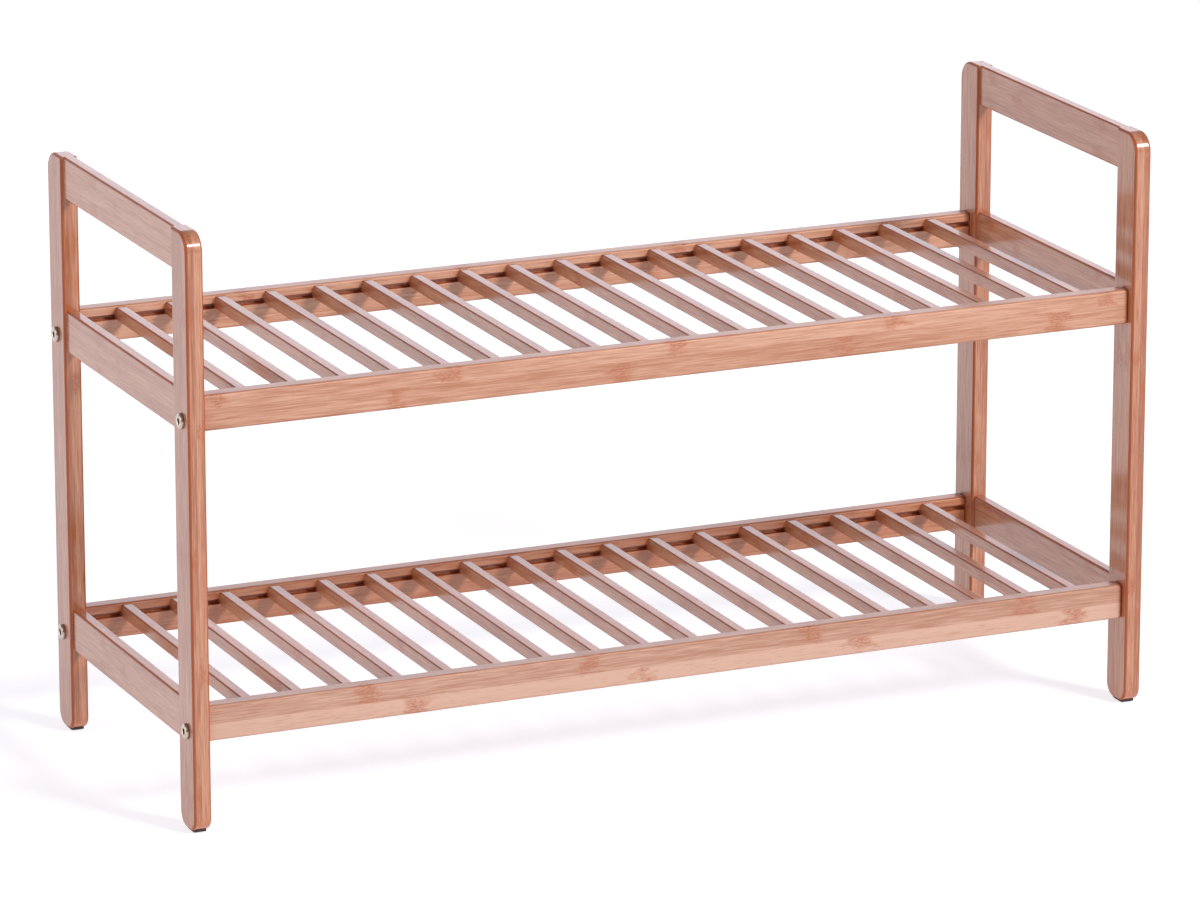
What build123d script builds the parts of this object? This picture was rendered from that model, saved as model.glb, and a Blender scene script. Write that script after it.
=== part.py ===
from build123d import *
import os

# Two-tier slatted bamboo rack: two side frames, four long rails and two rows of slats.
# Millimetres. +X runs along the length, +Y from front to back, +Z up.
# The origin is on the floor, midway between the side frames and midway front to back.

# --- Overall sizes ---
overall_length = 690.0  # over the outer faces of the two side frames
overall_depth = 260.0
overall_height = 400.0

# --- Posts ---
post_thickness = 12.0  # along X
post_width = 27.0  # along Y
post_top_radius = 13.0  # rounding of the outer top corner
foot_radius = 10.0  # rounding of both bottom corners
post_arris = 2.0  # rounding of every edge of both faces

# --- Rails between the posts of a side frame ---
side_rail_thickness = 8.0
side_rail_height = 28.5
top_rail_height = 28.5
side_rail_arris = 1.5
low_rail_end_radius = 4.5  # rounding of the lower side rails' bottom corners

# --- Shelves ---
lower_shelf_level = 73.0  # height of the middle of the shelf's rails
upper_shelf_level = 280.5
long_rail_thickness = 12.0
long_rail_height = 24.0
long_rail_setback = 6.0  # from the post's face to the rail's face
long_rail_arris = 1.8

# --- Slats and the groove that holds them ---
slat_count = 18  # on each shelf
slat_width = 7.5
slat_height = 8.5
slat_arris = 1.0
groove_floor_height = 14.5  # above the rail's underside
groove_height = 3.8
groove_depth = 5.0
tongue_end_gap = 0.5
tongue_top_gap = 0.1

# --- Bolts and threaded inserts ---
bolt_radius = 3.0
bolt_hole_clearance = 0.2
bolt_past_insert = 1.0  # from the end of the insert to the bolt's tip
bolt_tip_chamfer = 0.8
bolt_head_radius = 5.2
bolt_head_height = 2.4
bolt_head_edge = 1.1  # rounding of the head's rim
socket_across_flats = 4.0
socket_depth = 3.2
insert_wall = 0.95
insert_length = 15.0
insert_fit_clearance = 0.05
insert_hole_extra_depth = 3.0

# --- Dowels in the side frames ---
dowel_radius = 2.5
dowel_in_rail = 12.0
dowel_hole_wall = 1.3  # of post, between the end of a dowel's hole and the bolt's hole
dowel_spacing = 15.0
dowel_fit_clearance = 0.05
dowel_end_gap = 0.5

# --- Glides under the feet ---
glide_thickness = 1.5
glide_span = 17.0  # along the foot, front to back
glide_side_margin = 0.3  # from the foot's rounded edges

# --- Places worked out from the sizes above ---
half_length = overall_length / 2
half_depth = overall_depth / 2
inner_length = overall_length - 2 * post_thickness
inner_depth = overall_depth - 2 * post_width
frame_centre = half_length - post_thickness / 2
post_centre = half_depth - post_width / 2
rail_centre = half_depth - long_rail_setback - long_rail_thickness / 2
rail_inner_face = rail_centre - long_rail_thickness / 2
top_rail_level = overall_height - top_rail_height / 2
bolt_drop = long_rail_height / 2 - groove_floor_height / 2  # below the shelf's level
bolt_grip = post_thickness + insert_length + bolt_past_insert  # from under the head to the tip
bolt_hole_radius = bolt_radius + bolt_hole_clearance
insert_bore_radius = bolt_radius + insert_fit_clearance
insert_radius = insert_bore_radius + insert_wall
dowel_hole_depth = rail_centre - bolt_hole_radius - dowel_hole_wall - inner_depth / 2  # in a post
dowel_in_post = dowel_hole_depth - dowel_end_gap
shelf_levels = {"lower": lower_shelf_level, "upper": upper_shelf_level}
frame_sides = {"left": -1, "right": 1}
frame_ends = {"front": -1, "back": 1}
frame_rail_levels = {"top": top_rail_level, "upper_side": upper_shelf_level, "lower_side": lower_shelf_level}
frame_rail_heights = {"top": top_rail_height, "upper_side": side_rail_height, "lower_side": side_rail_height}

os.makedirs("parts", exist_ok=True)


def save(piece, name):
    """Label a finished piece and write it to its own STEP file."""
    piece.part.label = name
    export_step(piece.part, f"parts/{name}.step")


def dowel_levels():
    """Heights of the dowels: two for each rail of a side frame."""
    return [level + step * dowel_spacing / 2 for level in frame_rail_levels.values() for step in (-1, 1)]


def bolt_levels():
    """Heights of the bolts: one for each shelf, through the solid lower part of its long rails."""
    return [level - bolt_drop for level in shelf_levels.values()]


def make_post(side, end):
    """A post with a rounded top outer corner, a rounded foot, bolt holes and blind dowel holes."""
    middle = (end * post_centre, (overall_height + glide_thickness) / 2)
    with BuildPart() as post:
        with BuildSketch(Plane.YZ.offset(side * frame_centre)) as outline:
            with Locations(middle):
                Rectangle(post_width, overall_height - glide_thickness)
            fillet(outline.vertices().group_by(Axis.Y)[0], foot_radius)
            outward = Axis((0, 0, 0), (end, 0, 0))
            fillet(outline.vertices().group_by(Axis.Y)[-1].sort_by(outward)[-1], post_top_radius)
        extrude(amount=post_thickness / 2, both=True)
        fillet(post.faces().filter_by(Axis.X).edges(), post_arris)
        for level in bolt_levels():
            with Locations(Plane((side * half_length, end * rail_centre, level), z_dir=(side, 0, 0))):
                Hole(bolt_hole_radius, post_thickness)
        for level in dowel_levels():
            with Locations(Plane((side * frame_centre, end * inner_depth / 2, level), z_dir=(0, -end, 0))):
                Hole(dowel_radius + dowel_fit_clearance, dowel_hole_depth)
    return post


def make_frame_rail(side, place):
    """A rail between the two posts of a side frame, drilled for two dowels at each end."""
    level = frame_rail_levels[place]
    height = frame_rail_heights[place]
    with BuildPart() as rail:
        with Locations((side * frame_centre, 0, level)):
            Box(side_rail_thickness, inner_depth, height)
        if place == "lower_side":
            underside = rail.faces().sort_by(Axis.Z)[0]
            fillet(underside.edges().filter_by(Axis.X), low_rail_end_radius)
        sides = rail.faces().filter_by(Axis.X)
        lengthwise = sides.edges().filter_by(lambda edge: edge.bounding_box().size.Y > inner_depth / 2)
        fillet(lengthwise, side_rail_arris)
        for end in frame_ends.values():
            for step in (-1, 1):
                hole = (side * frame_centre, end * inner_depth / 2, level + step * dowel_spacing / 2)
                with Locations(Plane(hole, z_dir=(0, end, 0))):
                    Hole(dowel_radius + dowel_fit_clearance, dowel_in_rail + dowel_end_gap)
    return rail


def make_long_rail(end, level):
    """A front or back shelf rail, grooved along its inner face and drilled for an insert at each end."""
    groove_level = level - long_rail_height / 2 + groove_floor_height + groove_height / 2
    with BuildPart() as rail:
        with Locations((0, end * rail_centre, level)):
            Box(inner_length, long_rail_thickness, long_rail_height)
        fillet(rail.edges(), long_rail_arris)
        with Locations((0, end * (rail_inner_face + groove_depth / 2), groove_level)):
            Box(inner_length, groove_depth, groove_height, mode=Mode.SUBTRACT)
        for side in frame_sides.values():
            hole = (side * inner_length / 2, end * rail_centre, level - bolt_drop)
            with Locations(Plane(hole, z_dir=(side, 0, 0))):
                Hole(insert_radius + insert_fit_clearance, insert_length + insert_hole_extra_depth)
    return rail


def make_slat(x, level):
    """A slat that rests on the groove floors, with a tongue at each end."""
    floor = level - long_rail_height / 2 + groove_floor_height
    tongue_length = groove_depth - tongue_end_gap
    tongue_height = groove_height - tongue_top_gap
    with BuildPart() as slat:
        with Locations((x, 0, floor + slat_height / 2)):
            Box(slat_width, 2 * rail_inner_face, slat_height)
        fillet(slat.edges().filter_by(Axis.Y), slat_arris)
        with Locations((x, 0, floor + tongue_height / 2)):
            Box(slat_width, 2 * (rail_inner_face + tongue_length), tongue_height)
    return slat


def make_bolts(side):
    """The four hex-socket bolts of one side frame, heads on the posts' outer faces."""
    head_x = side * half_length
    with BuildPart() as bolts:
        for end in frame_ends.values():
            for level in bolt_levels():
                seat = (head_x, end * rail_centre, level)
                with BuildSketch(Plane(seat, x_dir=(side, 0, 0), z_dir=(0, -side, 0))):
                    with BuildLine():
                        Polyline(
                            (bolt_head_height, 0),
                            (-bolt_grip, 0),
                            (-bolt_grip, bolt_radius - bolt_tip_chamfer),
                            (-bolt_grip + bolt_tip_chamfer, bolt_radius),
                            (0, bolt_radius),
                            (0, bolt_head_radius),
                            (bolt_head_height - bolt_head_edge, bolt_head_radius),
                        )
                        RadiusArc(
                            (bolt_head_height - bolt_head_edge, bolt_head_radius),
                            (bolt_head_height, bolt_head_radius - bolt_head_edge),
                            bolt_head_edge,
                        )
                        Line((bolt_head_height, bolt_head_radius - bolt_head_edge), (bolt_head_height, 0))
                    make_face()
                revolve(axis=Axis(seat, (side, 0, 0)))
                with BuildSketch(Plane(seat, z_dir=(side, 0, 0)).offset(bolt_head_height)):
                    RegularPolygon(socket_across_flats / 2, 6, major_radius=False)
                extrude(amount=-socket_depth, mode=Mode.SUBTRACT)
    return bolts


def make_inserts(side):
    """The four threaded inserts that the bolts of one side frame screw into, as plain sleeves."""
    with BuildPart() as inserts:
        for end in frame_ends.values():
            for level in bolt_levels():
                mouth = Plane((side * inner_length / 2, end * rail_centre, level), z_dir=(side, 0, 0))
                with BuildSketch(mouth):
                    Circle(insert_radius)
                    Circle(insert_bore_radius, mode=Mode.SUBTRACT)
                extrude(amount=-insert_length)
    return inserts


def make_dowels(side):
    """The twelve dowels that join the three rails of one side frame to its posts."""
    with BuildPart() as dowels:
        for end in frame_ends.values():
            for level in dowel_levels():
                joint = Plane((side * frame_centre, end * inner_depth / 2, level), z_dir=(0, end, 0))
                with BuildSketch(joint.offset(dowel_in_post)):
                    Circle(dowel_radius)
                extrude(amount=-(dowel_in_post + dowel_in_rail))
    return dowels


def make_glides():
    """The four glides: strips that follow the rounding of the feet."""
    strip_width = post_thickness - 2 * (post_arris + glide_side_margin)
    with BuildPart() as glides:
        for side in frame_sides.values():
            for end in frame_ends.values():
                with BuildSketch(Plane.YZ.offset(side * frame_centre)) as band:
                    outer_radius = foot_radius + glide_thickness
                    outer_width = post_width + 2 * glide_thickness
                    with Locations((end * post_centre, outer_width / 2)):
                        Rectangle(outer_width, outer_width)
                    fillet(band.vertices().group_by(Axis.Y)[0], outer_radius)
                    with BuildSketch(mode=Mode.SUBTRACT) as foot:
                        with Locations((end * post_centre, glide_thickness + post_width / 2)):
                            Rectangle(post_width, post_width)
                        fillet(foot.vertices().group_by(Axis.Y)[0], foot_radius)
                    with Locations((end * post_centre, foot_radius / 2)):
                        Rectangle(glide_span, foot_radius, mode=Mode.INTERSECT)
                extrude(amount=strip_width / 2, both=True)
    return glides


# --- Side frames ---
for side_name, side in frame_sides.items():
    for end_name, end in frame_ends.items():
        save(make_post(side, end), f"{side_name}_{end_name}_post")
    for place in frame_rail_levels:
        save(make_frame_rail(side, place), f"{side_name}_{place}_rail")
    save(make_dowels(side), f"{side_name}_frame_dowels")
    save(make_bolts(side), f"{side_name}_frame_bolts")
    save(make_inserts(side), f"{side_name}_rail_inserts")

# --- Shelves: the gaps between slats, and beside the first and last slat, are all equal ---
slat_gap = (inner_length - slat_count * slat_width) / (slat_count + 1)
slat_pitch = slat_width + slat_gap
for shelf_name, level in shelf_levels.items():
    for end_name, end in frame_ends.items():
        save(make_long_rail(end, level), f"{shelf_name}_{end_name}_rail")
    for number in range(slat_count):
        slat_x = (number - (slat_count - 1) / 2) * slat_pitch
        save(make_slat(slat_x, level), f"{shelf_name}_slat_{number + 1:02d}")

# --- Feet ---
save(make_glides(), "foot_glides")
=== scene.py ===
# %% [markdown]
# # A two-tier slatted bamboo rack
#
# The rack is flat-pack furniture in laminated bamboo: two glued side frames, four long rails that
# are bolted between them, and two rows of slats whose ends sit in grooves. The CAD model already
# holds every one of those pieces at its true size, so this lesson is about what a CAD model can't
# say: how bamboo grows, how it was glued and lacquered, and how small turned parts look close up.

# %% Load the frame
import math

import bpy
from mathutils import Matrix, Vector


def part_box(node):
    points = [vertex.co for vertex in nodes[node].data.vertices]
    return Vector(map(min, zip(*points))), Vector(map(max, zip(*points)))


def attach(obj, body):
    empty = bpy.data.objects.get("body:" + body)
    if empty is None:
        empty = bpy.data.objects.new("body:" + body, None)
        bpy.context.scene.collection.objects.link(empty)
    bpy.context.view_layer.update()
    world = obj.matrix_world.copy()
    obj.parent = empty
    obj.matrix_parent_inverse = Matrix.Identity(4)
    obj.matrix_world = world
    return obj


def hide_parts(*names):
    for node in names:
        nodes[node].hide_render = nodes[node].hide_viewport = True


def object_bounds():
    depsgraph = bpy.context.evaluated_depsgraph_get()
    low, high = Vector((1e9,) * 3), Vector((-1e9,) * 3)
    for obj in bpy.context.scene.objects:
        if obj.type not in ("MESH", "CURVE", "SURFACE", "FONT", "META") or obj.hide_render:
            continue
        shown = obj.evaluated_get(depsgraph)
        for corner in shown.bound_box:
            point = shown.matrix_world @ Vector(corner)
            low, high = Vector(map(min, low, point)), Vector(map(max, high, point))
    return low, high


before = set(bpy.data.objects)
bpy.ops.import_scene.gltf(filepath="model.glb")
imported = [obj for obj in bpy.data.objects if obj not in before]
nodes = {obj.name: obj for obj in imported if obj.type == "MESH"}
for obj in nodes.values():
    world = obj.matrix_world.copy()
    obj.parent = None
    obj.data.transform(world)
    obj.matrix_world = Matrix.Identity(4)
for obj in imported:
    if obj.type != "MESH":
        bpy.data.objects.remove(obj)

MM = 0.001
cad_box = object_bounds()

# %% [markdown]
# ## The size to work from
#
# Places are never typed in twice. The import leaves every node selected, and an operator acts on
# all that is selected, so the first habit to learn is to deselect everything.

# %% Measure the rack
bpy.ops.object.select_all(action="DESELECT")
rack_size = cad_box[1] - cad_box[0]
print("the rack measures", [round(side / MM, 1) for side in rack_size], "mm")

# %% [markdown]
# ## The camera
#
# A long lens from well back keeps the two side frames nearly parallel, as catalogue pictures do.
# The camera stands to the left of the front and a little above. It could be given a location, but
# it is placed by angles instead, because each angle changes one thing in the picture: how far
# round it stands, how high, and how far away.

# %% Place the camera
view_from_left = math.radians(23.92)
view_from_above = math.radians(15.8)
view_distance = 4.68
view_middle = Vector((-2.6, -2.9, 186.8)) * MM


def direction(from_front, from_above):
    """A direction by its angle round from the front, towards the right, and its angle up."""
    level = math.cos(from_above)
    return Vector((level * math.sin(from_front), -level * math.cos(from_front), math.sin(from_above)))


def stand(name, data, towards, distance):
    """Stand a camera or a lamp in that direction from the middle of the view, facing it."""
    thing = bpy.data.objects.new(name, data)
    bpy.context.scene.collection.objects.link(thing)
    thing.location = view_middle + distance * towards
    thing.rotation_euler = towards.to_track_quat("Z", "Y").to_euler()
    return thing


camera_data = bpy.data.cameras.new("camera")
camera_data.sensor_width = 36.0  # this and the focal length are in millimetres
camera_data.lens = 208.4
camera_data.clip_end = 60.0  # in metres, past the far edge of the floor
camera = stand("camera", camera_data, direction(-view_from_left, view_from_above), view_distance)
bpy.context.scene.camera = camera
print("camera at", [round(c, 3) for c in camera.location], "with a lens of", round(camera_data.lens, 1), "mm")

# %% [markdown]
# ## Colours and nodes
#
# A colour is easiest to pick as the hex code that a colour picker shows, which is sRGB, while a
# shader adds and multiplies linear light. One function turns the first into the second. Another
# adds a node with its settings and links, so that a material reads as a list of what it does. An
# input may be a value, another node's socket, or a node, which then stands for its first output.

# %% Three helpers
def srgb(code):
    """An sRGB hex colour as the linear colour that a shader wants."""
    shares = [int(code[start:start + 2], 16) / 255 for start in (1, 3, 5)]
    return (*[s / 12.92 if s <= 0.04045 else ((s + 0.055) / 1.055) ** 2.4 for s in shares], 1.0)


def add_node(tree, kind, inputs=None, **settings):
    """Add a node with these settings, and give each of these inputs its value or its link."""
    node = tree.nodes.new(kind)
    for name, value in settings.items():
        setattr(node, name, value)
    for key, value in (inputs or {}).items():
        if isinstance(value, bpy.types.Node):
            value = next(output for output in value.outputs if output.enabled)
        if isinstance(value, bpy.types.NodeSocket):
            tree.links.new(value, node.inputs[key])
        else:
            node.inputs[key].default_value = value
    return node


def empty_material(name):
    """A material with no nodes in it yet."""
    material = bpy.data.materials.new(name)
    material.use_nodes = True
    material.node_tree.nodes.clear()
    return material


print("lacquered bamboo in linear light:", [round(c, 3) for c in srgb("#DDA585")])

# %% [markdown]
# ## The studio
#
# Lacquered wood is half colour and half reflection, so the room matters as much as the wood. The
# sky is brightest low down behind the rack: that is what the flat tops mirror, and it turns them
# pale. Overhead it is dim, so the light keeps a direction. A direction's Y runs from -1 at the front
# to 1 at the back, and its Z up to 1 overhead, so two soft ramps on them are all that it takes.

# %% The sky
sky_colour = srgb("#EFEFFB")
sky_around, sky_behind, sky_overhead = 0.27, 1.65, 0.32
behind_starts, behind_is_full = -0.1, 0.8
overhead_starts, overhead_is_full = 0.26, 0.50
world = bpy.data.worlds.new("studio_sky")
world.use_nodes = True
tree = world.node_tree
tree.nodes.clear()
looking = add_node(tree, "ShaderNodeTexCoord").outputs["Generated"]
axes = add_node(tree, "ShaderNodeSeparateXYZ", {0: looking})
level_light = add_node(tree, "ShaderNodeMapRange", {
    "Value": axes.outputs["Y"], "From Min": behind_starts, "From Max": behind_is_full,
    "To Min": sky_around, "To Max": sky_behind,
}, interpolation_type="SMOOTHSTEP")
overhead = add_node(tree, "ShaderNodeMapRange", {
    "Value": axes.outputs["Z"], "From Min": overhead_starts, "From Max": overhead_is_full,
}, interpolation_type="SMOOTHSTEP")
strength = add_node(tree, "ShaderNodeMix", {"Factor": overhead, "A": level_light, "B": sky_overhead})
sky = add_node(tree, "ShaderNodeBackground", {"Color": sky_colour, "Strength": strength})
add_node(tree, "ShaderNodeOutputWorld", {"Surface": sky})
bpy.context.scene.world = world
print("sky strengths:", sky_around, "around,", sky_behind, "behind,", sky_overhead, "overhead")

# %% [markdown]
# A wide lamp from the front right gives the front faces their warmth, lays the slats' shadows on the
# back rails and leaves a bright band on each rounded top corner. Its width, against its distance,
# keeps the shadows soft. A weak warm one on the left stands for a reflector: it lifts the faces that
# look left, which the first lamp never reaches.

# %% The lamp and the reflector
def add_lamp(name, width, watts, colour, from_front, from_above, distance):
    """Add a round lamp, its place given by two angles in degrees and a distance."""
    disk = bpy.data.lights.new(name, "AREA")
    disk.shape = "DISK"
    disk.size = width
    disk.energy = watts
    disk.color = srgb(colour)[:3]
    lamp = stand(name, disk, direction(math.radians(from_front), math.radians(from_above)), distance)
    print(name, "of", watts, "W at", [round(c, 2) for c in lamp.location])


add_lamp("soft_lamp", 2.4, 830.0, "#FFF6F4", from_front=30, from_above=34, distance=9.0)
add_lamp("warm_reflector", 3.0, 100.0, "#FFE6D6", from_front=-80, from_above=25, distance=6.0)

# %% [markdown]
# The rack stands on white acrylic lit from below, the usual way to get a clean ground under
# catalogue goods. Its glow is also what the outer faces of the side frames mirror. The standard
# view transform keeps that white white, where a film-like one would turn it grey.

# %% The lit floor
floor_radius, floor_glow = 14.0, 0.74
bpy.ops.mesh.primitive_circle_add(vertices=96, radius=floor_radius, fill_type="NGON")
floor = bpy.context.object
floor.name = "studio_floor"
acrylic = empty_material("backlit_white_acrylic")
shader = add_node(acrylic.node_tree, "ShaderNodeBsdfPrincipled", {
    "Base Color": srgb("#B8B8B8"), "Roughness": 0.9, "Specular IOR Level": 0.1,
    "Emission Color": srgb("#F8F9FF"), "Emission Strength": floor_glow,
})
add_node(acrylic.node_tree, "ShaderNodeOutputMaterial", {"Surface": shader})
floor.data.materials.append(acrylic)
bpy.context.scene.view_settings.view_transform = "Standard"
print("floor radius", floor_radius, "m")

# %% [markdown]
# ## Laminated bamboo
#
# Bamboo is a grass. Its wall is split into strips, steamed until the sugars in it caramelise to a
# brown that runs right through, planed square and glued face to face. Four things then meet the eye:
#
# - fibre bundles, as fine light and dark streaks along the length
# - glue lines, where one strip's colour stops and the next begins
# - nodes, the stalk's joints, as a short darker smudge across one strip
# - lacquer, clear and half glossy; here the rounded edges and the inner corners are also browned with painted
#   shade
#
# An image could be wrapped round each piece, but then the streaks would break at every corner.
# Here the pattern is solid: it fills space, and each piece is cut from it, end grain included. It
# reads the Object coordinates, whose axes are the rack's own, put in a new order so that the first
# one always runs along the fibres. Its sizes are in millimetres, as one would read them off a board.

# %% Grain sizes
fibre_length, fibre_width = 24 * MM, 0.9 * MM  # somewhat wider than real bundles, so that they show
band_length, band_width = 230 * MM, 6 * MM
fleck_length, fleck_width = 9 * MM, 0.8 * MM
wander_length, wander_width, wander_reach = 60 * MM, 13.2 * MM, 1.1 * MM
node_spacing, node_half_length = 160 * MM, 6 * MM
ragged_length, ragged_width = 14 * MM, 5 * MM
speckle_length, speckle_width = 2.4 * MM, 0.8 * MM
shuffle_distance = 3.0  # how far apart in the solid pattern two strips may be cut
print(f"{rack_size.x / node_spacing:.1f} nodes along a long rail, on average")

# %% [markdown]
# ### Streaks
#
# Noise is round and blotchy. Shrinking the coordinates along the fibres far more than across them
# stretches its blotches into streaks, and the same two nodes serve for anything that runs with the
# grain: the fibres, the broad bands, the flecks and the ragged ends of a node.

# %% Noise stretched along the grain
def streaks(tree, place, length, width, detail):
    """Noise in streaks of about that length and width, along the first axis."""
    stretched = add_node(tree, "ShaderNodeVectorMath", {
        0: place, 1: (1 / length, 1 / width, 1 / width)}, operation="MULTIPLY")
    return add_node(tree, "ShaderNodeTexNoise", {"Vector": stretched, "Scale": 1.0, "Detail": detail})


print(f"a fibre is {fibre_length / fibre_width:.0f} times as long as it is wide")

# %% [markdown]
# ### Strips
#
# Strips glued side by side come from different stalks, so the streaks of one never run on into the
# next. A colour ramp without blending gives each strip its tone, from its place in the thickness
# of the piece. White noise then makes a random shift from that tone and from a number for the piece,
# and each strip reads the solid pattern at its own shifted place.

# %% Which strip of which piece
clear_of_zero = (0.001,) * 3  # keeps an axis that isn't divided in one piece


def cut_into_strips(tree, grain_axes, example, strips, divisions):
    """Where each point lies in the solid pattern, with its strip's tone and random share."""
    place = add_node(tree, "ShaderNodeTexCoord").outputs["Object"]
    axes = add_node(tree, "ShaderNodeSeparateXYZ", {0: place})
    along, across, beside = (axes.outputs[letter] for letter in grain_axes)
    grain = add_node(tree, "ShaderNodeCombineXYZ", {0: along, 1: across, 2: beside})

    across_index = "XYZ".index(grain_axes[1])
    nearest, farthest = sorted(abs(corner[across_index]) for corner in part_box(example))
    depth = add_node(tree, "ShaderNodeMath", {0: across}, operation="ABSOLUTE")
    share = add_node(tree, "ShaderNodeMapRange", {
        "Value": depth, "From Min": nearest, "From Max": farthest})
    tones = add_node(tree, "ShaderNodeValToRGB", {0: share})
    tones.color_ramp.interpolation = "CONSTANT"
    stops = tones.color_ramp.elements  # two to begin with: a piece of one strip keeps the white one at 1.0
    while len(stops) < len(strips):
        stops.new(1.0)
    for stop, (start, tone) in zip(stops, strips):
        stop.position = start
        stop.color = (tone, tone, tone, 1.0)

    parted = add_node(tree, "ShaderNodeVectorMath", {
        0: place, 1: divisions, 2: clear_of_zero}, operation="MULTIPLY_ADD")
    piece = add_node(tree, "ShaderNodeVectorMath", {0: parted}, operation="FLOOR")
    chance = add_node(tree, "ShaderNodeTexWhiteNoise", {
        "Vector": piece, "W": tones}, noise_dimensions="4D")
    shifted = add_node(tree, "ShaderNodeVectorMath", {
        0: chance.outputs["Color"], 1: (shuffle_distance,) * 3, 2: grain}, operation="MULTIPLY_ADD")
    return shifted, tones, chance.outputs["Value"]


print(f"strips are cut up to {shuffle_distance:.0f} m apart in the pattern")

# %% [markdown]
# ### Fibres, bands and flecks
#
# The fibres wander a little, as a stalk is never quite straight: a slow noise pushes the place
# sideways before the streaks are read. Broad bands give each strip lighter and darker stretches,
# and short flecks are the ends of single dark bundles.

# %% Fibres, bands and flecks
fleck_starts, fleck_is_full = 0.60, 0.74  # so only the peaks of the noise make a fleck


def grain_layers(tree, strip_place):
    """The place after wandering, the fibres, the bands and the dark flecks."""
    wander = streaks(tree, strip_place, wander_length, wander_width, 1.0).outputs["Color"]
    both_ways = add_node(tree, "ShaderNodeVectorMath", {
        0: wander, 1: (0.5,) * 3}, operation="SUBTRACT")
    sway = add_node(tree, "ShaderNodeVectorMath", {
        0: both_ways, 1: (0.0, wander_reach, wander_reach)}, operation="MULTIPLY")
    place = add_node(tree, "ShaderNodeVectorMath", {0: strip_place, 1: sway}, operation="ADD")
    fibres = streaks(tree, place, fibre_length, fibre_width, 3.0)
    bands = streaks(tree, place, band_length, band_width, 2.0)
    flecks = add_node(tree, "ShaderNodeMapRange", {
        "Value": streaks(tree, place, fleck_length, fleck_width, 1.0),
        "From Min": fleck_starts, "From Max": fleck_is_full,
    }, interpolation_type="SMOOTHSTEP")
    return place, fibres, bands, flecks


print("the fibres wander by up to", round(wander_reach / 2 / MM, 2), "mm")

# %% [markdown]
# ### Nodes
#
# A node is where the stalk had a wall across it. In a planed strip it is a ragged, speckled smudge
# across that strip alone. Ping-pong maths measures how far a point is from the nearest one, since
# it runs from zero up and back to zero once in every spacing, and noise added to that distance
# makes the smudge's ends ragged.

# %% The marks of the nodes
node_core, node_edge = 0.2 * node_half_length, 1.7 * node_half_length
ragged_reach = 6 * node_half_length
faintest_mark, speckle_strength = 0.25, 0.55
speckle_low, speckle_high = 0.38, 0.62


def node_marks(tree, place):
    """How strongly a node darkens each point, from 0 up to the faintest mark plus the speckle."""
    along = add_node(tree, "ShaderNodeSeparateXYZ", {0: place}).outputs["X"]
    from_node = add_node(tree, "ShaderNodeMath", {
        0: along, 1: node_spacing / 2}, operation="PINGPONG")
    ragged = streaks(tree, place, ragged_length, ragged_width, 2.0)
    ragged = add_node(tree, "ShaderNodeMath", {0: ragged, 1: 0.5}, operation="SUBTRACT")
    from_node = add_node(tree, "ShaderNodeMath", {
        0: ragged, 1: ragged_reach, 2: from_node}, operation="MULTIPLY_ADD")
    near_node = add_node(tree, "ShaderNodeMapRange", {
        "Value": from_node, "From Min": node_core, "From Max": node_edge, "To Min": 1.0, "To Max": 0.0,
    }, interpolation_type="SMOOTHSTEP")
    speckle = add_node(tree, "ShaderNodeMapRange", {
        "Value": streaks(tree, place, speckle_length, speckle_width, 3.0),
        "From Min": speckle_low, "From Max": speckle_high,
    }, interpolation_type="SMOOTHSTEP")
    mark = add_node(tree, "ShaderNodeMath", {
        0: speckle, 1: speckle_strength, 2: faintest_mark}, operation="MULTIPLY_ADD")
    return add_node(tree, "ShaderNodeMath", {0: near_node, 1: mark}, operation="MULTIPLY")


print("each smudge is about", round(2 * node_half_length / MM), "mm long")

# %% [markdown]
# ### Painted shade in corners and on edges
#
# Inner corners and rounded edges are given a browner colour, which is painted shade. Corners are
# where ambient occlusion finds little open air. The edges could be painted by hand, but the normal
# already tells them: between two faces at right angles, its share along one axis is all or nothing
# on the flats, and something between on the round.

# %% Inner corners and rounded edges
corner_reach = 22 * MM
# painted shade in corners: full below the first share of open air, none above the second
deep_corner, no_corner, corner_shade_strength = 0.30, 0.92, 0.85  # two shares of open air, and the strength
round_edge, flat_face = 0.65, 0.99  # how flat the middle of a rounded edge is, and a face


def corners_and_edges(tree, arris_axis):
    """How strongly painted shade browns each point in a corner, and how far it is on an edge rounded between
    faces along the axis.
    """
    open_air = add_node(tree, "ShaderNodeAmbientOcclusion", {"Distance": corner_reach}, samples=6)
    corner_shade_share = add_node(tree, "ShaderNodeMapRange", {
        "Value": open_air.outputs["AO"], "From Min": deep_corner, "From Max": no_corner,
        "To Min": corner_shade_strength, "To Max": 0.0,
    }, interpolation_type="SMOOTHSTEP")

    geometry = add_node(tree, "ShaderNodeNewGeometry")
    normal = add_node(tree, "ShaderNodeSeparateXYZ", {0: geometry.outputs["Normal"]})
    leaning = add_node(tree, "ShaderNodeMath", {0: normal.outputs[arris_axis]}, operation="ABSOLUTE")
    squared = add_node(tree, "ShaderNodeMath", {0: leaning, 1: 2.0}, operation="POWER")
    flatness = add_node(tree, "ShaderNodeMath", {
        0: squared, 1: 2.0, 2: -1.0}, operation="MULTIPLY_ADD")
    flatness = add_node(tree, "ShaderNodeMath", {0: flatness}, operation="ABSOLUTE")
    on_edge = add_node(tree, "ShaderNodeMapRange", {
        "Value": flatness, "From Min": round_edge, "From Max": flat_face, "To Min": 1.0, "To Max": 0.0,
    }, interpolation_type="SMOOTHSTEP")
    return corner_shade_share, on_edge


print("corners brown within", round(corner_reach / MM), "mm")
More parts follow.
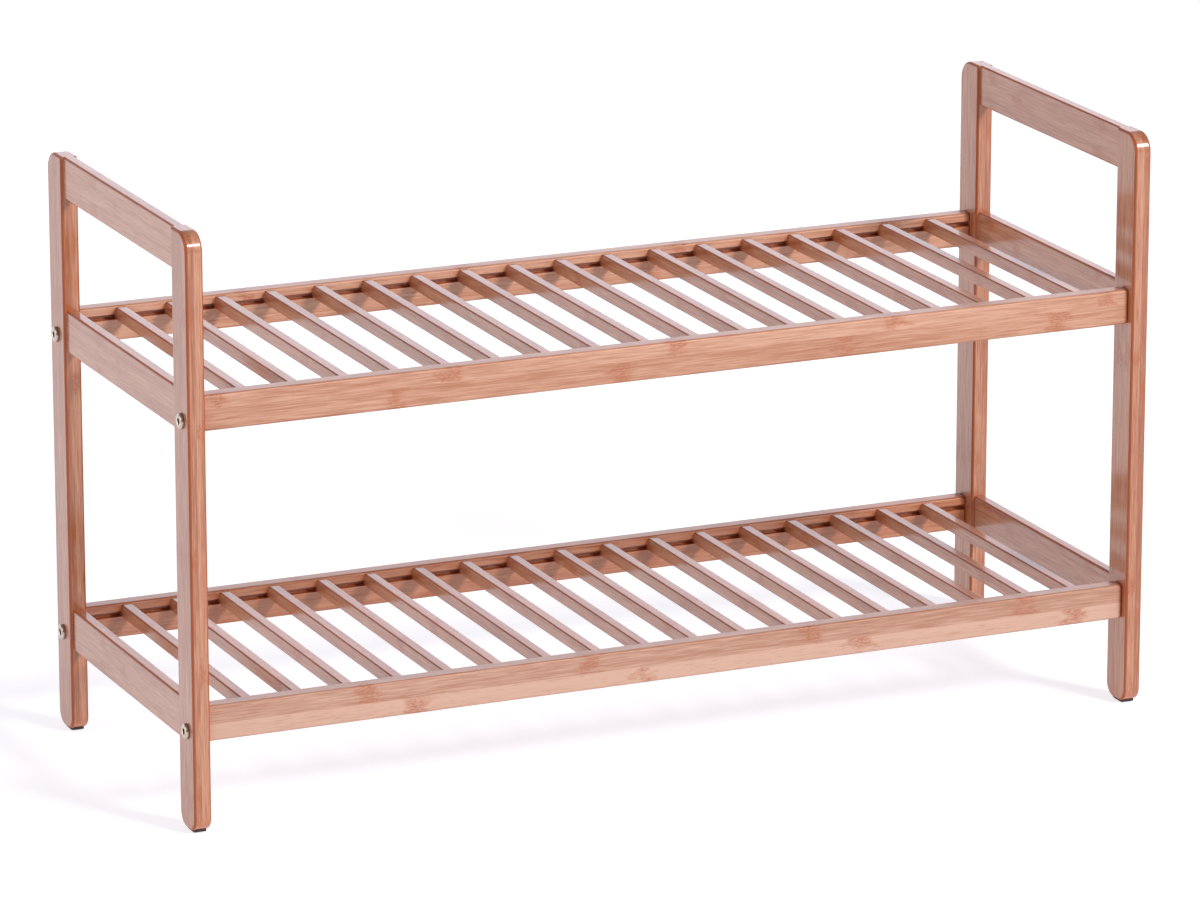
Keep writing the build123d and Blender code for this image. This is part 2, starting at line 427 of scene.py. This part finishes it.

# %% [markdown]
# ### All of it together
#
# The tone of the wood is a sum: fibres most of all, then bands, the strip and a little chance. A
# soft ramp turns the sum into a mix of a dark and a light brown, and four layers are laid over that
# one after another: the flecks and the node marks, which are the wood's own, then painted shade in
# the corners and on the rounded edges. The fibres also raise a very slight bump under a clear coat.
# Its IOR is a little over a lacquer's usual 1.5, to match the gloss of the real finish, and it is
# weaker on the edges, because a rounded edge catches every lamp and would show a hard white line.

# %% The bamboo material
fibre_share, band_share, chance_share = 1.25, 0.65, 0.14
darkest_sum, lightest_sum = 1.08, 1.88
# the last two colours are painted shade, for the inner corners and the rounded edges
fleck_brown, node_brown, painted_corner_shade, painted_edge_shade = "#7A3C1C", "#984C1A", "#AD5A26", "#96481F"
fleck_strength = 0.28


def laminated_bamboo(
        name, axes, example, strips, divisions, dark, light, arris_axis="X", edge_shading=0.9, gloss=0.14):
    """Lacquered bamboo for the pieces like the example node.

    axes: the axes along the fibres, across the glue lines and along the glue lines
    strips: where each strip starts, as a share of the piece's depth, and its tone
    divisions: pieces per metre along each axis, so that each one gets its own number
    arris_axis, edge_shading: the axis that tells the rounded edges, and how strongly painted shade browns
    them
    gloss: the roughness of the lacquer, so a lower one is glossier
    """
    material = empty_material(name)
    tree = material.node_tree
    strip_place, strip_tone, chance = cut_into_strips(tree, axes, example, strips, divisions)
    place, fibres, bands, flecks = grain_layers(tree, strip_place)
    corner_shade_share, on_edge = corners_and_edges(tree, arris_axis)

    total = add_node(tree, "ShaderNodeMath", {0: fibres, 1: fibre_share}, operation="MULTIPLY")
    total = add_node(tree, "ShaderNodeMath", {0: bands, 1: band_share, 2: total}, operation="MULTIPLY_ADD")
    total = add_node(tree, "ShaderNodeMath", {0: chance, 1: chance_share, 2: total}, operation="MULTIPLY_ADD")
    total = add_node(tree, "ShaderNodeMath", {0: total, 1: strip_tone}, operation="ADD")
    tone = add_node(tree, "ShaderNodeMapRange", {
        "Value": total, "From Min": darkest_sum, "From Max": lightest_sum,
    }, interpolation_type="SMOOTHSTEP")
    wood = add_node(tree, "ShaderNodeMix", {
        "Factor": tone, "A": srgb(dark), "B": srgb(light)}, data_type="RGBA")

    flecks = add_node(tree, "ShaderNodeMath", {0: flecks, 1: fleck_strength}, operation="MULTIPLY")
    # painted shade browns the rounded edges and the inner corners; the flecks and node marks are the wood's
    # own
    edge_shade = add_node(tree, "ShaderNodeMath", {0: on_edge, 1: edge_shading}, operation="MULTIPLY")
    shade_and_marks = (
        (flecks, fleck_brown), (node_marks(tree, place), node_brown),
        (corner_shade_share, painted_corner_shade), (edge_shade, painted_edge_shade))
    for strength, colour in shade_and_marks:
        wood = add_node(tree, "ShaderNodeMix", {
            "Factor": strength, "A": wood, "B": srgb(colour)}, data_type="RGBA")

    bump = add_node(tree, "ShaderNodeBump", {"Height": fibres, "Strength": 0.10, "Distance": 0.2 * MM})
    coat = add_node(tree, "ShaderNodeMath", {0: on_edge, 1: -0.9, 2: 1.0}, operation="MULTIPLY_ADD")
    shader = add_node(tree, "ShaderNodeBsdfPrincipled", {
        "Base Color": wood, "Roughness": 0.50, "Specular IOR Level": 0.35, "Normal": bump,
        "Coat Weight": coat, "Coat Roughness": gloss, "Coat IOR": 1.58,
    })
    add_node(tree, "ShaderNodeOutputMaterial", {"Surface": shader})
    return material


print("the sum of tones runs from", darkest_sum, "for dark to", lightest_sum, "for light")

# %% [markdown]
# ### A cut for each kind of piece
#
# The posts are two layers thick, and the outer layer is the darker one. The long rails are stacked
# strips: the lower front one has a pale strip along its bottom, and the lower back one is darker all
# over. The side frames' rails are three strips high. Between two strips there may be a thin dark
# one, which is the line of glue. A slat is a single strip, so only chance tells one from the next.
# The long rails are plainer than the rest: hardly any painted shade on the edges, and a satin lacquer.

# %% Bamboo for each kind of piece
first_slat, second_slat = (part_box(f"upper_slat_{number:02d}")[0].x for number in (1, 2))
slats_per_metre = 1 / (second_slat - first_slat)
frame_rail_strips = [(0.0, 0.46), (0.33, 0.40), (0.345, 0.52), (0.66, 0.40), (0.675, 0.46)]
frame_dark, frame_light = "#905331", "#B58467"
one_strip = [(0.0, 0.46)]
long_rail = {"axes": "XZY", "divisions": (0, 2, 0), "arris_axis": "Z", "edge_shading": 0.1, "gloss": 0.3}
bamboo = {
    "post": laminated_bamboo(
        "bamboo_posts", "ZXY", "left_front_post", strips=[(0.0, 0.54), (0.55, 0.30)],
        divisions=(2, 2, 0), dark="#8C4C29", light="#B58161", gloss=0.12),
    "upper_long": laminated_bamboo(
        "bamboo_upper_long_rails", example="upper_front_rail",
        strips=[(0.0, 0.46), (0.58, 0.40), (0.60, 0.50)], dark="#9B613E", light="#BE9277", **long_rail),
    "lower_front": laminated_bamboo(
        "bamboo_lower_front_rail", example="lower_front_rail",
        strips=[(0.0, 0.78), (0.48, 0.40), (0.50, 0.44)], dark="#976548", light="#BA957F", **long_rail),
    "lower_back": laminated_bamboo(
        "bamboo_lower_back_rail", example="lower_back_rail", strips=one_strip,
        dark="#8B4A28", light="#B27A58", **long_rail),
    "slat": laminated_bamboo(
        "bamboo_slats", "YXZ", "upper_slat_01", strips=one_strip,
        divisions=(slats_per_metre, 0, 5), dark=frame_dark, light=frame_light),
}
for rail in ("top", "upper_side", "lower_side"):
    bamboo[rail] = laminated_bamboo(
        f"bamboo_{rail}_rails", "YZX", f"left_{rail}_rail", strips=frame_rail_strips,
        divisions=(2, 0, 0), dark=frame_dark, light=frame_light)


def bamboo_for(name):
    """The bamboo that a wooden node is made of, or None."""
    words = name.split("_")
    if words[-1] == "post":
        return bamboo["post"]
    if "slat" in words:
        return bamboo["slat"]
    if words[0] == "upper":
        return bamboo["upper_long"]
    if words[0] == "lower":
        return bamboo[f"lower_{words[1]}"]
    if words[-1] == "rail":
        return bamboo["_".join(words[1:-1])]
    return None


wooden = [name for name in sorted(nodes) if bamboo_for(name)]
for name in wooden:
    nodes[name].material_slots[0].material = bamboo_for(name)
print(len(wooden), "wooden nodes in", len(bamboo), "cuts of bamboo")

# %% [markdown]
# ## Metal, dowels and rubber
#
# The bolts are plated with nickel, which is a warm grey mirror. Barrel plating leaves it slightly
# uneven. The inserts are zinc plated: bluer, duller, in little crystal patches. Both metals are
# darkened with painted shade wherever the ambient occlusion node finds a narrow place, such as a
# bolt's socket.

# %% The plated metals
narrow_gap = 2.5 * MM


def plated_metal(name, light, dark, patch, roughness, painted_recess_shade):
    """Plated steel: two tones of metal in patches of that size, darkened with painted shade in narrow places.
    """
    material = empty_material(name)
    tree = material.node_tree
    place = add_node(tree, "ShaderNodeTexCoord").outputs["Object"]
    patches = add_node(tree, "ShaderNodeTexNoise", {"Vector": place, "Scale": 1 / patch, "Detail": 3.0})
    metal = add_node(tree, "ShaderNodeMix", {
        "Factor": patches, "A": srgb(dark), "B": srgb(light)}, data_type="RGBA")
    # painted shade: narrow places, where ambient occlusion finds little open air, are darkened to this colour
    open_air = add_node(tree, "ShaderNodeAmbientOcclusion", {"Distance": narrow_gap}, samples=8)
    recess_shade_share = add_node(tree, "ShaderNodeMapRange", {
        "Value": open_air.outputs["AO"], "From Min": 0.25, "From Max": 0.80,
        "To Min": 1.0, "To Max": 0.0,
    })
    metal = add_node(tree, "ShaderNodeMix", {
        "Factor": recess_shade_share, "A": metal, "B": srgb(painted_recess_shade)}, data_type="RGBA")
    matt = add_node(tree, "ShaderNodeMapRange", {
        "Value": patches, "To Min": 1.4 * roughness, "To Max": 0.6 * roughness})
    pits = add_node(tree, "ShaderNodeBump", {
        "Height": patches, "Strength": 0.15, "Distance": 0.05 * MM})
    shader = add_node(tree, "ShaderNodeBsdfPrincipled", {
        "Base Color": metal, "Metallic": 1.0, "Roughness": matt, "Normal": pits})
    add_node(tree, "ShaderNodeOutputMaterial", {"Surface": shader})
    return material


nickel = plated_metal(
    "nickel_plated_steel", light="#D6CCBF", dark="#A89C8E", patch=1.2 * MM, roughness=0.24, painted_recess_shade="#2B211B")
zinc = plated_metal(
    "zinc_plated_steel", light="#C9CED2", dark="#969CA3", patch=2.5 * MM, roughness=0.38, painted_recess_shade="#4A4B4D")
print("metals:", nickel.name, "and", zinc.name)

# %% [markdown]
# The dowels are beech, turned from rods: pale pink-brown with short dark ray flecks along the
# grain, and not lacquered, because glue must soak in. The glides are moulded rubber, nearly black
# and matt, with the fine pebbling that a blasted mould leaves. On both, one noise picks between two
# tones and also raises the bump, so one function makes them from its size along each axis.

# %% Beech and rubber
def mottled(name, dark, light, mottle, detail, roughness, bump_strength):
    """A matt surface whose mottling is that large along X, Y and Z, with a bump to match."""
    material = empty_material(name)
    tree = material.node_tree
    place = add_node(tree, "ShaderNodeTexCoord").outputs["Object"]
    scaled = add_node(tree, "ShaderNodeMapping", {
        "Vector": place, "Scale": [1 / size for size in mottle]})
    mottling = add_node(tree, "ShaderNodeTexNoise", {"Vector": scaled, "Scale": 1.0, "Detail": detail})
    colour = add_node(tree, "ShaderNodeMix", {
        "Factor": mottling, "A": srgb(dark), "B": srgb(light)}, data_type="RGBA")
    bump = add_node(tree, "ShaderNodeBump", {
        "Height": mottling, "Strength": bump_strength, "Distance": 0.1 * MM})
    shader = add_node(tree, "ShaderNodeBsdfPrincipled", {
        "Base Color": colour, "Roughness": roughness, "Normal": bump})
    add_node(tree, "ShaderNodeOutputMaterial", {"Surface": shader})
    return material


beech = mottled(
    "turned_beech_unlacquered", dark="#B07B50", light="#E3BE95", mottle=(0.7 * MM, 4 * MM, 0.7 * MM),
    detail=3.0, roughness=0.75, bump_strength=0.3)
rubber = mottled(
    "moulded_black_rubber", dark="#161413", light="#332D2A", mottle=(0.5 * MM,) * 3,
    detail=2.0, roughness=0.8, bump_strength=0.4)
nodes["foot_glides"].material_slots[0].material = rubber
print("finished", beech.name, "and", rubber.name)

# %% [markdown]
# ## Turned parts
#
# The bolts, their threaded inserts and the dowels are all round, so one function makes them: it
# starts from a ring of edges and extrudes it from place to place along the axis, each time scaled
# to the next radius, as a lathe tool would cut it. Spin would do the same from a drawn profile, but
# rings are easier to give a hexagon or flutes to. A real thread is a helix. At this size nobody can
# tell it from a stack of ridges at the same pitch, and ridges join up without a seam.

# %% The lathe
ring_steps = 48  # a multiple of six, so that a hexagon can grow into a circle
same_place = 0.01 * MM  # two points nearer than this count as level with each other


def extrude_ring(rise, scale):
    """Extrude the selected ring along the axis, and scale the new one about the axis."""
    bpy.ops.mesh.extrude_region_move(TRANSFORM_OT_translate={"value": (0, 0, rise)})
    bpy.ops.transform.resize(value=(scale, scale, 1), center_override=(0, 0, 0))


def follow(profile, radius, height):
    """Extrude the selected ring through each (radius, height) of the profile."""
    for next_radius, next_height in profile:
        extrude_ring(next_height - height, next_radius / radius)
        radius, height = next_radius, next_height


def start_ring(name, radius, height, steps=ring_steps):
    """Add a ring as a new object, and leave it selected in edit mode."""
    bpy.ops.object.select_all(action="DESELECT")
    bpy.ops.mesh.primitive_circle_add(vertices=steps, radius=radius, location=(0, 0, 0))
    bpy.context.object.name = name
    bpy.ops.object.mode_set(mode="EDIT")
    bpy.ops.mesh.select_all(action="SELECT")
    bpy.ops.transform.translate(value=(0, 0, height))
    return bpy.context.object


print("rings have", ring_steps, "points")

# %% [markdown]
# Some steps need a ring that was made earlier. It could be remembered by the numbers of its points,
# but those change with every edit, so it is found again by where it is: at one height, and at one
# radius where two rings lie at the same height.

# %% Find a ring, and finish a piece
def select_ring(piece, height, radius=None):
    """Select the edges at one height, and at one radius if it is given."""
    bpy.ops.object.mode_set(mode="OBJECT")
    mesh = piece.data
    for polygon in mesh.polygons:
        polygon.select = False
    near = []
    for vertex in mesh.vertices:
        away = 0.0 if radius is None else math.hypot(vertex.co.x, vertex.co.y) - radius
        near.append(abs(vertex.co.z - height) < same_place and abs(away) < same_place)
        vertex.select = near[-1]
    for edge in mesh.edges:
        edge.select = all(near[end] for end in edge.vertices)
    bpy.ops.object.mode_set(mode="EDIT")


def close_and_smooth(piece, sharp_angle):
    """Weld the rings, turn the faces outwards, leave edit mode and shade all but the sharp edges."""
    bpy.ops.mesh.select_all(action="SELECT")
    bpy.ops.mesh.remove_doubles(threshold=same_place / 10)
    bpy.ops.mesh.normals_make_consistent(inside=False)
    bpy.ops.object.mode_set(mode="OBJECT")
    bpy.ops.object.shade_smooth_by_angle(angle=math.radians(sharp_angle))
    print(piece.name, "has", len(piece.data.polygons), "faces")
    return piece


def thread(root, crest, start, end, pitch):
    """The (radius, height) of each ridge of a thread, from start down to end."""
    ridges = int(round((start - end) / pitch))
    step = (start - end) / ridges
    points = []
    for ridge in range(ridges):
        top = start - ridge * step
        points += [(root, top), (crest, top - 0.42 * step), (crest, top - 0.58 * step)]
    return points + [(root, end)]


print("a thread of three ridges:", thread(root=2.5, crest=3.0, start=0.0, end=-3.0, pitch=1.0))

# %% [markdown]
# The bolt is a furniture bolt with a low wide head, plated with nickel. Its head is cold forged, so
# the rim is a smooth quarter round, and the socket's mouth is chamfered to let the key in. The
# hexagon of the socket is subdivided until it has as many points as the head, and a bridge joins
# the two rings.

# %% Model one bolt
head_radius, head_height, rim_round, underside_chamfer = 5.2 * MM, 2.4 * MM, 1.1 * MM, 0.25 * MM
key_size = 4.0 * MM
socket_radius = key_size / math.sqrt(3)
socket_depth, mouth_chamfer = 3.2 * MM, 0.25 * MM
shank_radius, thread_root, thread_pitch = 3.0 * MM, 2.55 * MM, 1.0 * MM
bolt_length, plain_shank, tip_chamfer = 28.0 * MM, 4.0 * MM, 0.8 * MM
rim_steps = 6


def model_bolt():
    """A bolt on the Z axis, its head's underside at zero and its shank downwards."""
    bolt = start_ring("bolt_pattern", socket_radius, head_height - socket_depth, steps=6)
    bpy.ops.mesh.subdivide(number_cuts=ring_steps // 6 - 1)
    bpy.ops.mesh.edge_face_add()
    extrude_ring(socket_depth - mouth_chamfer, 1.0)
    bpy.ops.mesh.select_all(action="DESELECT")
    select_ring(bolt, head_height - mouth_chamfer)
    extrude_ring(mouth_chamfer, 1 + mouth_chamfer / socket_radius)
    bpy.ops.mesh.select_all(action="DESELECT")
    flat_radius = head_radius - rim_round
    bpy.ops.mesh.primitive_circle_add(vertices=ring_steps, radius=flat_radius, location=(0, 0, head_height))
    select_ring(bolt, head_height)
    bpy.ops.mesh.bridge_edge_loops()

    select_ring(bolt, head_height, flat_radius)
    profile = []
    for step in range(1, rim_steps + 1):
        turn = math.radians(90 * step / rim_steps)
        radius = flat_radius + rim_round * math.sin(turn)
        profile.append((radius, head_height - rim_round * (1 - math.cos(turn))))
    profile += [(head_radius, underside_chamfer), (head_radius - underside_chamfer, 0.0)]
    profile += [(shank_radius, 0.0), (shank_radius, -plain_shank)]
    profile += thread(thread_root, shank_radius, -plain_shank, tip_chamfer - bolt_length, thread_pitch)
    profile += [(shank_radius - tip_chamfer, -bolt_length)]
    follow(profile, flat_radius, head_height)
    bpy.ops.mesh.edge_face_add()
    return close_and_smooth(bolt, sharp_angle=32)


bolt_pattern = model_bolt()
bolt_pattern.data.materials.append(nickel)

# %% [markdown]
# One bolt is modelled and copied eight times. Each copy gets its own mesh, is turned so that its
# head faces out of the side frame, and has its place applied to the mesh, so that its object stays
# at the origin as a CAD node's does.

# %% Put the bolts where the CAD bolts are
def put_copy(pattern, name, turn, place):
    """A copy of the pattern with its own mesh, turned and placed, its object left at the origin."""
    copy = bpy.data.objects.new(name, pattern.data.copy())
    bpy.context.scene.collection.objects.link(copy)
    copy.data.transform(Matrix.Translation(place) @ turn)
    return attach(copy, "root")


def outward(side):
    """Turns the Z axis to face out of the left or the right side frame."""
    return Matrix.Rotation(math.radians(90) * side, 4, "Y")


def corners(node, margin):
    """The axes of the four round parts in a node: (name, Y, Z), each a margin in from the box."""
    low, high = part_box(node)
    for end, y in (("front", low.y + margin), ("back", high.y - margin)):
        for level, z in (("lower", low.z + margin), ("upper", high.z - margin)):
            yield f"{end}_{level}", y, z


for side_name, side in (("left", -1), ("right", 1)):
    node = f"{side_name}_frame_bolts"
    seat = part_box(f"{side_name}_front_post")[0 if side < 0 else 1].x
    for place, y, z in corners(node, head_radius):
        bolt = put_copy(bolt_pattern, f"{side_name}_{place}_bolt", outward(side), Vector((seat, y, z)))
        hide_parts(node)
    print("bolt heads sit on the", side_name, "frame at", round(seat / MM, 1), "mm")
bpy.data.objects.remove(bolt_pattern)

# %% [markdown]
# ## What the bolts screw into
#
# Each end of a long rail holds an insert: a steel sleeve whose coarse outer thread bites into the
# bamboo, so that the rack can be taken apart many times. The wood hides it, but a part that is
# looked at in pieces should have it. Its profile goes round the wall and ends where it began, so
# welding the first ring to the last closes it.

# %% Model the inserts
insert_low, insert_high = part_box("left_rail_inserts")
insert_length = insert_high.x - insert_low.x
insert_radius, insert_bore, insert_root = 4.0 * MM, 3.05 * MM, 3.5 * MM
wood_thread_pitch, plain_end = 2.0 * MM, 0.5 * MM


def model_insert():
    """An insert on the Z axis, its mouth at zero and the rest below."""
    insert = start_ring("insert_pattern", insert_bore, 0.0)
    wall = [(insert_root, 0.0)]
    wall += thread(insert_root, insert_radius, -plain_end, plain_end - insert_length, wood_thread_pitch)
    wall += [(insert_root, -insert_length), (insert_bore, -insert_length), (insert_bore, 0.0)]
    follow(wall, insert_bore, 0.0)
    return close_and_smooth(insert, sharp_angle=32)


insert_pattern = model_insert()
insert_pattern.data.materials.append(zinc)
for side_name, side in (("left", -1), ("right", 1)):
    node = f"{side_name}_rail_inserts"
    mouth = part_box(node)[0 if side < 0 else 1].x
    for place, y, z in corners(node, insert_radius):
        insert = put_copy(insert_pattern, f"{side_name}_{place}_insert", outward(side), Vector((mouth, y, z)))
        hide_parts(node)
print("each insert is", round(insert_length / MM, 1), "mm long")
bpy.data.objects.remove(insert_pattern)

# %% [markdown]
# The dowels are fluted: when one is pushed into its hole, the grooves let the air and the spare
# glue out. The ring gets its flutes before it is extruded, by shrinking every fourth point, so each
# flute runs straight from end to end, as a fluting die leaves it.

# %% Model one dowel
dowel_radius, dowel_chamfer, flute_scale, flute_steps = 2.5 * MM, 0.6 * MM, 0.90, 4
dowel_length = 22.0 * MM  # the CAD model's, which the box round twelve dowels doesn't tell


def model_dowel():
    """A fluted dowel on the Z axis, its outer end at zero and the rest below."""
    tip_radius = dowel_radius - dowel_chamfer
    dowel = start_ring("dowel_pattern", tip_radius, 0.0)
    bpy.ops.mesh.select_all(action="DESELECT")
    bpy.ops.object.mode_set(mode="OBJECT")
    for vertex in dowel.data.vertices:
        vertex.select = vertex.index % flute_steps == 0
    bpy.ops.object.mode_set(mode="EDIT")
    bpy.ops.transform.resize(value=(flute_scale, flute_scale, 1), center_override=(0, 0, 0))
    bpy.ops.mesh.select_all(action="SELECT")
    rod = [(dowel_radius, -dowel_chamfer), (dowel_radius, dowel_chamfer - dowel_length)]
    follow(rod + [(tip_radius, -dowel_length)], tip_radius, 0.0)
    bpy.ops.mesh.edge_face_add()
    select_ring(dowel, 0.0)
    bpy.ops.mesh.edge_face_add()
    return close_and_smooth(dowel, sharp_angle=28)


dowel_pattern = model_dowel()
dowel_pattern.data.materials.append(beech)

# %% [markdown]
# Two dowels, one above the other, join each end of a rail to its post, because a single one would
# let the rail twist. How far they are above and below the rail's middle is measured once, from the
# lowest dowels and the lowest rail, and it serves for every rail.

# %% Put two dowels at each end of each rail
def middle_height(rail):
    """Halfway up a rail."""
    low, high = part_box(rail)
    return (low.z + high.z) / 2


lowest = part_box("left_frame_dowels")[0].z
dowel_rise = middle_height("left_lower_side_rail") - dowel_radius - lowest
for side_name in ("left", "right"):
    node = f"{side_name}_frame_dowels"
    low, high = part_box(node)
    for rail in ("top", "upper_side", "lower_side"):
        middle = middle_height(f"{side_name}_{rail}_rail")
        for end, y, turn in (("front", low.y, 90), ("back", high.y, -90)):
            for level, z in (("lower", middle - dowel_rise), ("upper", middle + dowel_rise)):
                place = Vector(((low.x + high.x) / 2, y, z))
                name = f"{side_name}_{rail}_{end}_{level}_dowel"
                dowel = put_copy(dowel_pattern, name, Matrix.Rotation(math.radians(turn), 4, "X"), place)
                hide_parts(node)
print("dowels lie", round(dowel_rise / MM, 1), "mm above and below the middle of each rail")
bpy.data.objects.remove(dowel_pattern)
